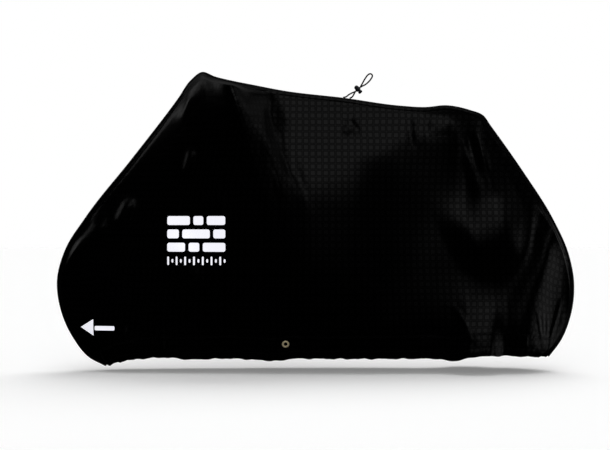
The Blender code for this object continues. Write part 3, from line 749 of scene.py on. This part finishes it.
def side_piece(which):
    sign = SIDES[which]
    u = even_columns(COLUMNS[which])
    share = np.linspace(0, 1, SIDE_ROWS[which] + 1)
    share -= ROW_CROWDING * np.sin(2 * math.pi * share) / (2 * math.pi)
    top = GUSSET + SEAM_GAP / 2
    low = band_top(u) + SEAM_LAP
    s = sign * (top + (low - top)[:, None] * share)

    def raise_by(points, u, s):
        from_top = np.abs(s) - top
        from_low = low[:, None] - np.abs(s)
        along_top = fade((u - TOP_SEAM[0]) / TOP_SEAM_FADE) * fade((TOP_SEAM[1] - u) / TOP_SEAM_FADE)
        down, up = [fade((from_top - start) / over) for start, over in (GROOVE_DOWN, GROOVE_UP)]
        groove = SEAM_GROOVE * down * (1 - up) * (GROOVE_SHARE + (1 - GROOVE_SHARE) * along_top)
        low_seam = LOW_PUCKER_SHARE * low_puckers(u, from_low)
        return seam_fold(from_top) - groove + puckers(u, from_top) + low_seam

    return cloth_sheet("cloth_side_" + which, u, s, raise_by, sign)


def band_piece(which):
    sign = SIDES[which]
    u = even_columns(COLUMNS[which])
    share = np.linspace(0, 1, BAND_ROWS + 1)
    top = band_top(u) + SEAM_GAP / 2
    low = GUSSET + column_length(u)
    s = sign * (top[:, None] + (low - top)[:, None] * share)
    foot_x = column(u)[2][:, :1]

    def raise_by(points, u, s):
        from_top = np.abs(s) - top[:, None]
        from_low = low[:, None] - np.abs(s)
        from_eyelet = np.hypot(points[:, :, 0] - EYELET_X, points[:, :, 2] + TOP_HEIGHT - EYELET_HEIGHT)
        rough = fade((from_eyelet - CALM) / CALM)
        gathers = ripples(foot_x, GATHER_WAVES) * np.exp(-((from_low / GATHER_REACH) ** 2))
        casing = CASING_DEPTH * fade((CASING - from_low) / CASING_STEP)
        return seam_fold(from_top) + gathers * rough + casing + low_puckers(u, from_top) * rough

    return cloth_sheet("cloth_hem_band_" + which, u, s, raise_by, sign)


def gusset_piece():
    u = even_columns(COLUMNS["near"])
    half = GUSSET + SEAM_LAP
    s = np.tile(np.linspace(-half, half, GUSSET_ROWS + 1), (len(u), 1))

    def raise_by(points, u, s):
        from_edge = half - np.abs(s)
        return puckers(u, from_edge, PUCKER_DEPTH_GUSSET) - LAP_DROP * (from_edge < SEAM_LAP)

    return cloth_sheet("cloth_gusset", u, s, raise_by, lengthwise=True)


def add_piece(thing, material, slot, *nodes):
    """Gives a piece its material, ties it to the root body, and hides the solids of the nodes that it stands
    for.
    """
    thing.data.materials.append(material)
    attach(thing, "root")
    if nodes:
        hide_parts(*nodes)


TURN_STEPS = 72


def turned(name, profile, placed, steps=TURN_STEPS, capped=False):
    """A solid of revolution about its Z axis, from (radius, height) points."""
    turn = np.linspace(0, 2 * math.pi, steps, endpoint=False)
    vertices = [(r * math.cos(a), r * math.sin(a), z) for r, z in profile for a in turn]
    thing = object_of(name, vertices, tube_faces(np.arange(len(vertices)).reshape(-1, steps), capped))
    face_outwards(thing)
    thing.matrix_world = placed
    return thing


ROUNDING = 0.0004
ROUNDING_STEPS = 3


def rounded(profile):
    """A profile with each corner rounded."""
    points = [Vector(p) for p in profile]
    made = []
    for i, here in enumerate(points):
        before, after = points[i - 1], points[(i + 1) % len(points)]
        cut_back = min(ROUNDING, (before - here).length * 0.4, (after - here).length * 0.4)
        a = here + (before - here).normalized() * cut_back
        b = here + (after - here).normalized() * cut_back
        for s in np.arange(ROUNDING_STEPS + 1) / ROUNDING_STEPS:
            made.append(tuple(a * (1 - s) ** 2 + here * 2 * s * (1 - s) + b * s * s))
    return made


def apply_all(thing):
    """Bakes a piece's modifiers and its place into its mesh."""
    graph = bpy.context.evaluated_depsgraph_get()
    mesh = bpy.data.meshes.new_from_object(thing.evaluated_get(graph))
    mesh.transform(thing.matrix_world)
    thing.modifiers.clear()
    thing.data = mesh
    thing.matrix_world = Matrix.Identity(4)
    smooth(mesh, SMOOTH_TURNED)


def cut(thing, cutter):
    modifier = thing.modifiers.new("cut", "BOOLEAN")
    modifier.operation = "DIFFERENCE"
    modifier.solver = "EXACT"
    modifier.object = cutter
    bpy.context.view_layer.update()
    apply_all(thing)
    bpy.data.objects.remove(cutter)


# ---- eyelets
def eyelet_frame(sign):
    out = Vector((0, sign, -EYELET_LEAN)).normalized()
    middle = Vector((EYELET_X, sign * EYELET_Y, EYELET_HEIGHT - TOP_HEIGHT)) - out * SOLID_CLOTH / 2
    return Matrix.Translation(middle) @ out.to_track_quat("Z", "Y").to_matrix().to_4x4()


def eyelet(name, sign):
    half = SOLID_CLOTH / 2 + 0.0001
    face = half + EYELET_FLANGE_DEPTH
    profile = [
        (EYELET_HOLE + 0.0012, face + 0.0001),
        (EYELET_HOLE + 0.003, face),
        (EYELET_FLANGE - 0.0018, face - 0.0005),
        (EYELET_FLANGE, half + 0.0004),
        (EYELET_FLANGE - 0.0004, half),
        (EYELET_BARREL, half),
        (EYELET_BARREL, -half),
        (EYELET_FLANGE - 0.0006, -half),
        (EYELET_FLANGE - 0.0002, -half - 0.0004),
        (EYELET_FLANGE - 0.001, -half - 0.001),
        (EYELET_HOLE + 0.0012, -half - 0.0012),
        (EYELET_HOLE, -half - 0.0006),
        (EYELET_HOLE, face - 0.001),
    ]
    ring = turned(name, rounded(profile), eyelet_frame(sign))
    apply_all(ring)
    return ring


CUTTER_SIDES = 48
CUTTER_REACH = 0.012
CUTTER_SLACK = 0.0003


def hole_cutter(sign):
    """A cylinder through a hem band, a little wider than its eyelet's barrel."""
    radius = EYELET_BARREL + CUTTER_SLACK
    ends = ((radius, -CUTTER_REACH), (radius, CUTTER_REACH))
    return turned("hole_cutter", ends, eyelet_frame(sign), CUTTER_SIDES, capped=True)


def make_eyelets(pieces):
    brass = brass_material()
    for which, sign in SIDES.items():
        cut(pieces["hem_band_" + which], hole_cutter(sign))
        add_piece(eyelet("eyelet_ring_" + which, sign), brass, "brass", "eyelet_" + which)


# ---- cord and toggle
def toggle_frame():
    strands = Vector((math.cos(TOGGLE_TILT), 0, math.sin(TOGGLE_TILT)))
    button_way = Vector((math.sin(TOGGLE_TILT), 0, -math.cos(TOGGLE_TILT)))
    turn = Matrix((strands, button_way.cross(strands), button_way)).transposed().to_4x4()
    return Matrix.Translation((TOGGLE_X, 0, TOGGLE_HEIGHT - TOP_HEIGHT)) @ turn


SLOT_REACH = 0.03


def slot_cutter(low, high):
    """A slot for two strands side by side, from low to high along the toggle's Z, with round ends."""
    bm = bmesh.new()
    bmesh.ops.create_cube(bm, size=1)
    width = 2 * CORD + 3 * CORD_SPACE
    size = Matrix.Diagonal((SLOT_REACH, width, high - low, 1))
    bm.transform(Matrix.Translation((0, 0, (low + high) / 2)) @ size)
    lengthwise = [e for e in bm.edges if abs((e.verts[0].co - e.verts[1].co).x) > SLOT_REACH / 2]
    corner = (CORD + 2 * CORD_SPACE) / 2 - 0.0001
    bmesh.ops.bevel(bm, geom=lengthwise, offset=corner, segments=8, profile=0.5, affect="EDGES")
    mesh = bpy.data.meshes.new("slot_cutter")
    bm.to_mesh(mesh)
    bm.free()
    cutter = linked("slot_cutter", mesh)
    cutter.matrix_world = toggle_frame()
    return cutter


AXIS = 0.00001  # radius at which a solid's outline meets its axis
GRIP_RINGS = 3
GRIP_PITCH = 0.001


def make_toggle():
    plastic = plastic_material()
    half = CORD / 2 + CORD_SPACE
    floor = TOGGLE_OPEN_END - TOGGLE_BORE_DEPTH
    top, bottom = TOGGLE_OPEN_END, -TOGGLE_SHUT_END
    profile = [
        (AXIS, floor),
        (TOGGLE_BORE, floor),
        (TOGGLE_BORE, top),
        (TOGGLE_RADIUS - 0.001, top),
        (TOGGLE_RADIUS - 0.0004, top - 0.0009),
        (TOGGLE_RADIUS, top - 0.003),
        (TOGGLE_RADIUS - 0.0003, -0.006),
        (TOGGLE_RADIUS - 0.0012, bottom + 0.004),
        (TOGGLE_RADIUS - 0.0034, bottom + 0.0012),
        (TOGGLE_RADIUS - 0.006, bottom),
        (AXIS, bottom),
    ]
    corner = ROUNDING_STEPS + 1
    profile = profile[:1] + rounded(profile)[corner:-corner] + profile[-1:]
    body = turned("toggle_body", profile, toggle_frame())
    cut(body, slot_cutter(-half, half))
    add_piece(body, plastic, "plastic", "toggle_barrel")

    stem = TOGGLE_BORE - 0.0003
    neck = TOGGLE_OPEN_END + TOGGLE_TRAVEL
    tip = neck + BUTTON_LENGTH
    ribs = []
    for k in range(GRIP_RINGS):
        z = neck + 0.0036 - k * GRIP_PITCH
        ribs += [(BUTTON_RADIUS, z + 0.0003), (BUTTON_RADIUS - 0.0003, z), (BUTTON_RADIUS, z - 0.0003)]
    profile = [
        (AXIS, tip - 0.0006),
        (BUTTON_RADIUS - 0.0046, tip - 0.0004),
        (BUTTON_RADIUS - 0.0036, tip),
        (BUTTON_RADIUS - 0.0012, tip - 0.0008),
        *ribs,
        (BUTTON_RADIUS, neck + 0.001),
        (BUTTON_RADIUS - 0.0008, neck + 0.0002),
        (stem, neck + 0.0002),
        (stem, -half - 0.0022),
        (stem - 0.0006, -half - 0.0028),
        (AXIS, -half - 0.0028),
    ]
    button = turned("toggle_button", profile, toggle_frame())
    cut(button, slot_cutter(-half, half + TOGGLE_TRAVEL))
    add_piece(button, plastic, "plastic", "toggle_plunger")


FRAME_STEP = 0.0008
TOP_SAMPLES = 3000


def cloth_frame(u, s):
    """At places on the cloth: the point, the way along the crown, the way across it, and the way out."""
    after, before = np.minimum(u + FRAME_STEP, CROWN_LENGTH), np.maximum(u - FRAME_STEP, 0)
    along = unit(cover_point(after, s) - cover_point(before, s))
    across = cover_point(u, s + FRAME_STEP) - cover_point(u, s - FRAME_STEP)
    out = unit(np.cross(along, across))
    return cover_point(u, s), along, np.cross(out, along), out


def top_surface(x):
    """Point of the gusset's outer face on the crown at x, and the way out of it."""
    u = np.linspace(0, CROWN_LENGTH, TOP_SAMPLES)
    nearest = np.argmin(np.abs(crown_line(u)[:, 0] - x))
    point, _, _, out = cloth_frame(u[nearest : nearest + 1], np.zeros(1))
    return Vector(point[0]), Vector(out[0])


CORD_SIDES = 32
CORD_RINGS = 640
BRAID_PITCH = 0.008
BRAID_CROSSINGS = 3  # in a pitch
BRAID_DEPTH = 0.00016


def cord_line():
    placed = toggle_frame()
    beside = CORD / 2 + CORD_SPACE / 2
    clear = CORD_SPACE + CORD / 2 * CORD_LEAN
    start, start_way = top_surface(CORD_EXITS[0])
    end, end_way = top_surface(CORD_EXITS[1])
    between = [placed @ Vector((along, share * beside, towards)) for along, share, towards in CORD_WAY]
    points = np.array([start + start_way * clear] + between + [end + end_way * clear])
    at = run_along(points)
    return spline(at, points, np.linspace(0, at[-1], CORD_RINGS), limited=False)


def make_cord():
    """A braided tube. Its strands stand out of it a little where they cross over."""
    line = cord_line()
    ahead = unit(np.gradient(line, axis=0))
    side = np.zeros_like(line)
    side[0] = np.cross(ahead[0], (0, 1, 0))
    for i in range(1, CORD_RINGS):
        side[i] = unit(side[i - 1] - ahead[i] * np.dot(side[i - 1], ahead[i]))
    up = np.cross(ahead, side)
    run = run_along(line)
    turn = np.linspace(0, 2 * math.pi, CORD_SIDES, endpoint=False)
    twist = BRAID_CROSSINGS * run[:, None] * 2 * math.pi / BRAID_PITCH
    strands = STRANDS * turn
    over = np.maximum(np.cos(strands + twist), np.cos(strands - twist))
    radius = CORD / 2 - BRAID_DEPTH * (1 - over)
    out = np.cos(turn)[:, None] * side[:, None] + np.sin(turn)[:, None] * up[:, None]
    rings = line[:, None] + radius[:, :, None] * out
    index = np.arange(CORD_RINGS * CORD_SIDES).reshape(CORD_RINGS, CORD_SIDES)
    faces = corners(np.pad(index, ((0, 0), (0, 1)), mode="wrap")).reshape(-1, 4)
    faces = [*faces, index[0], index[-1][::-1]]
    places = np.stack(np.meshgrid(run, np.linspace(0, 1, CORD_SIDES + 1), indexing="ij"), axis=-1)
    uvs = np.concatenate([corners(places).reshape(-1, 2), np.zeros((2 * CORD_SIDES, 2))])
    tube = object_of("cord_loop", rings.reshape(-1, 3), faces, 180, "braid", uvs)
    face_outwards(tube)
    add_piece(tube, cord_material(), "cord", "shock_cord")


# ---- print
PRINT_LIFT = 0.0005
PRINT_DEPTH = 0.0003
PRINT_ROWS = 9
PRINT_STEP = 0.004
CORNER_COLUMNS = 9
POINTER_COLUMNS = 16
LEAST_HALF = 0.0002  # what is left of a shape's half-height at its tips
LEAST_TIP = 0.0003

BLOCK_X = -0.503
BLOCK_TALL = 0.030
BLOCK_CORNER = 0.007
# Rows of bars: height of the row's middle, then start and length of each bar from the block's left edge.
BLOCK_BARS = (
    (0.525, (0.000, 0.078), (0.090, 0.034), (0.136, 0.063)),
    (0.48, (0.000, 0.040), (0.052, 0.094), (0.158, 0.041)),
    (0.435, (0.000, 0.062), (0.074, 0.036), (0.122, 0.077)),
)
DASHES = 14
DASH_SPAN = 0.193  # from the first dash to the last
DASH_HEIGHT = 0.389
DASH_SIZE = (0.0062, (0.029, 0.012), 0.003)  # length, the two heights by turns, corner
POINTER = (-0.811, 0.158, 0.047, 0.057)  # x, height, length, how tall
POINTER_BAR = (-0.759, 0.156, 0.07, 0.015, 0.004)  # the same, and its corner


def rounded_bar(x, height, length, tall, corner):
    """Columns that fill a bar with round corners: their x, height of their middle, half their height."""
    ends = corner * (1 - np.cos(np.linspace(0, math.pi / 2, CORNER_COLUMNS)))
    inner = np.linspace(corner, length - corner, max(3, int(length / PRINT_STEP)))[1:-1]
    run = np.concatenate([ends, inner, length - ends[::-1]])
    from_end = np.minimum(run, length - run)
    round_by = np.sqrt(np.maximum(0, corner**2 - (corner - from_end) ** 2))
    drop = np.where(from_end < corner, corner - round_by, 0)
    return x + run, height, np.maximum(tall / 2 - drop, LEAST_HALF)


def pointer(x, height, length, tall):
    """The same for a triangle whose tip points to the front."""
    run = np.linspace(LEAST_TIP, length, POINTER_COLUMNS)
    return x + run, height, tall / 2 * run / length


def printed(name, shapes, tree, material):
    """A thin layer on the near side that fills the shapes."""
    vertices, faces = [], []
    for xs, height, halves in shapes:
        outer, inner = [], []
        for x, half in zip(xs, halves):
            for k in np.linspace(-1, 1, PRINT_ROWS):
                hit, out, _, _ = tree.ray_cast((x, -2.0, height + k * half - TOP_HEIGHT), (0, 1, 0))
                outer.append(hit + out * PRINT_LIFT)
                inner.append(hit + out * (PRINT_LIFT - PRINT_DEPTH))
        faces += list(sheet_faces(len(xs), PRINT_ROWS, len(vertices)))
        vertices += outer + inner
    add_piece(object_of(name, vertices, faces, SMOOTH_SMALL), material, "cloth")


def make_prints():
    tree = BVHTree.FromObject(bpy.data.objects["cloth_side_near"], bpy.context.evaluated_depsgraph_get())
    shapes = []
    for height, *bars in BLOCK_BARS:
        for start, length in bars:
            shapes.append(rounded_bar(BLOCK_X + start, height, length, BLOCK_TALL, BLOCK_CORNER))
    length, talls, corner = DASH_SIZE
    for k in range(DASHES):
        x = BLOCK_X + k * DASH_SPAN / (DASHES - 1)
        shapes.append(rounded_bar(x, DASH_HEIGHT, length, talls[k % 2], corner))
    material = print_material()
    printed("print_block", shapes, tree, material)
    printed("print_pointer", [pointer(*POINTER), rounded_bar(*POINTER_BAR)], tree, material)


# ---- stitches
STITCH = 0.0042
STITCH_GAP = 0.0014
THREAD = (0.00049, 0.00042)  # half the thread's width and half its height
STITCH_REACH = 0.02  # how far from the cloth's formula its piece may lie
# Rings along a stitch: place in halves of its length, lift off the cloth, thickness in threads.
STITCH_RINGS = ((-1.0, -0.0002, 0.5), (-0.6, 0.0003, 1.0), (0.6, 0.0003, 1.0), (1.0, -0.0002, 0.5))
CASING_ROW = 0.0015  # how far above the casing's edge it is stitched
ROW_END = 0.006  # how far from the hem a row starts and ends
ROW_SAMPLES = 4000


def stitches(name, cloth_piece, rows, material):
    """Rows of stitches on a piece of cloth. Each row is the places (u, s) of its stitches' middles."""
    tree = BVHTree.FromObject(cloth_piece, bpy.context.evaluated_depsgraph_get())
    ring = np.array([(math.cos(a), math.sin(a)) for a in math.pi / 4 + np.arange(4) * math.pi / 2])
    one = tube_faces(np.arange(len(STITCH_RINGS) * len(ring)).reshape(-1, len(ring)), capped=True)
    vertices, faces = [], []
    for u, s in rows:
        point, along, across, out = cloth_frame(u, s)
        if out[len(out) // 2, 1] * np.sign(s[0]) < 0:
            out = -out
        for p, a, c, o in zip(point, along, across, out):
            hit = tree.ray_cast(Vector(p + o * STITCH_REACH), Vector(-o), 2 * STITCH_REACH)[0]
            if hit is None:
                continue
            n = len(vertices)
            for lengthwise, lift, spread in STITCH_RINGS:
                middle = np.array(hit) + a * STITCH / 2 * lengthwise + o * lift
                for side_by, out_by in ring:
                    vertices.append(middle + c * THREAD[0] * spread * side_by + o * THREAD[1] * out_by)
            faces += [face + n for face in one]
    thing = object_of(name, vertices, faces, SMOOTH_SMALL)
    face_outwards(thing)
    add_piece(thing, material, "cloth")


def stitch_row(girth):
    """Places of a row of stitches at a girth, a function of u, from one hem to the other."""
    u = np.linspace(0, CROWN_LENGTH, ROW_SAMPLES)
    run = run_along(cover_point(u, girth(u)))
    at = np.interp(np.arange(ROW_END, run[-1] - ROW_END, STITCH + STITCH_GAP), run, u)
    return at, girth(at)


def make_stitches(pieces):
    """Two rows below each seam, and one above the elastic's casing."""
    thread = thread_material()
    for which, sign in SIDES.items():
        starts = [SEAM_GAP / 2 + distance for distance in SEAM_ROWS]
        rows = [stitch_row(lambda u: sign * np.full_like(u, GUSSET + start)) for start in starts]
        stitches("stitching_side_" + which, pieces["side_" + which], rows, thread)
        rows = [stitch_row(lambda u: sign * (band_top(u) + start)) for start in starts]
        rows.append(stitch_row(lambda u: sign * (GUSSET + column_length(u) - CASING - CASING_ROW)))
        stitches("stitching_hem_" + which, pieces["hem_band_" + which], rows, thread)


# ---- light and stage
FLOOR_HALF = 30.0
AMBIENT = 0.08

# Lights that only what shines shows. Columns: direction, the angles from it at which they start to fade and
# end, strength.
SOFT_LIGHTS = (
    ((0.22, -0.50, 0.84), 18, 34, 0.45),
    ((0.19, -0.86, 0.47), 6, 26, 0.165),
    ((-0.25, 0.50, 0.79), 20, 36, 0.12),
    ((0.80, -0.20, 0.56), 4, 13, 0.17),
    ((0.79, 0.17, 0.59), 4, 14, 0.22),
    ((0.99, 0.02, -0.08), 12, 29, 0.36),
    ((-0.769, 0.561, 0.307), 6, 16, 0.34),
    ((-0.655, 0.549, 0.519), 5, 12, 0.16),
    ((0.635, 0.53, 0.565), 8, 22, 0.07),
    ((0.0, 1.0, 0.10), 14, 34, 0.045),
    ((0.80, 0.60, 0.05), 8, 22, 0.30),
)


def add_stage():
    square = [(x * FLOOR_HALF, y * FLOOR_HALF, -TOP_HEIGHT) for x, y in ((-1, -1), (1, -1), (1, 1), (-1, 1))]
    floor = object_of("floor", square, [(0, 1, 2, 3)])
    floor.data.materials.append(floor_material())
    floor.visible_glossy = False
    floor.visible_diffuse = False


def add_world():
    """White for the camera, dim for what is matt, and for what shines a few soft lights in a dark room."""
    world = bpy.data.worlds.new("studio")
    bpy.context.scene.world = world
    t = Tree(world)
    way = t.add("ShaderNodeTexCoord").outputs["Generated"]
    room = 0.0
    for direction, inner, outer, strength in SOFT_LIGHTS:
        towards = {0: way, 1: Vector(direction).normalized()}
        facing = t.add("ShaderNodeVectorMath", towards, operation="DOT_PRODUCT").outputs["Value"]
        edges = [math.cos(math.radians(angle)) for angle in (outer, inner)]
        room = t.math("ADD", room, t.ramp(facing, *edges, 0.0, strength))
    path = t.add("ShaderNodeLightPath").outputs
    lit = t.mix(path["Is Glossy Ray"], (AMBIENT, AMBIENT, AMBIENT, 1), room)
    seen = t.mix(path["Is Camera Ray"], lit, (1.0, 1.0, 1.0, 1))
    t.feed(t.nodes["Background"].inputs["Color"], seen)


def add_sun(name, direction, strength, angle):
    """A light that only matt surfaces get."""
    data = bpy.data.lights.new(name, "SUN")
    data.energy = strength * math.pi
    data.angle = math.radians(angle)
    light = linked(name, data)
    light.rotation_euler = Vector(direction).to_track_quat("Z", "Y").to_euler()
    light.visible_glossy = False


def make_cover():
    pieces = {}
    for which in SIDES:
        pieces["side_" + which] = side_piece(which)
        pieces["hem_band_" + which] = band_piece(which)
    pieces["gusset"] = gusset_piece()
    cloth = cloth_material()
    for node, thing in pieces.items():
        add_piece(thing, cloth, "cloth", node)
    make_eyelets(pieces)
    make_prints()
    make_stitches(pieces)


make_toggle()
make_cord()
make_cover()
add_stage()
add_world()
add_sun("overhead_back", (0.22, 0.56, 1.0), 0.54, 48)
add_sun("overhead_front", (0.08, -0.30, 1.0), 0.23, 40)
add_sun("ceiling", (0.10, 0.0, 1.0), 0.10, 110)
add_sun("front_fill", (0.0, -1.0, 0.46), 0.26, 40)
bpy.context.scene.view_settings.view_transform = "Standard"
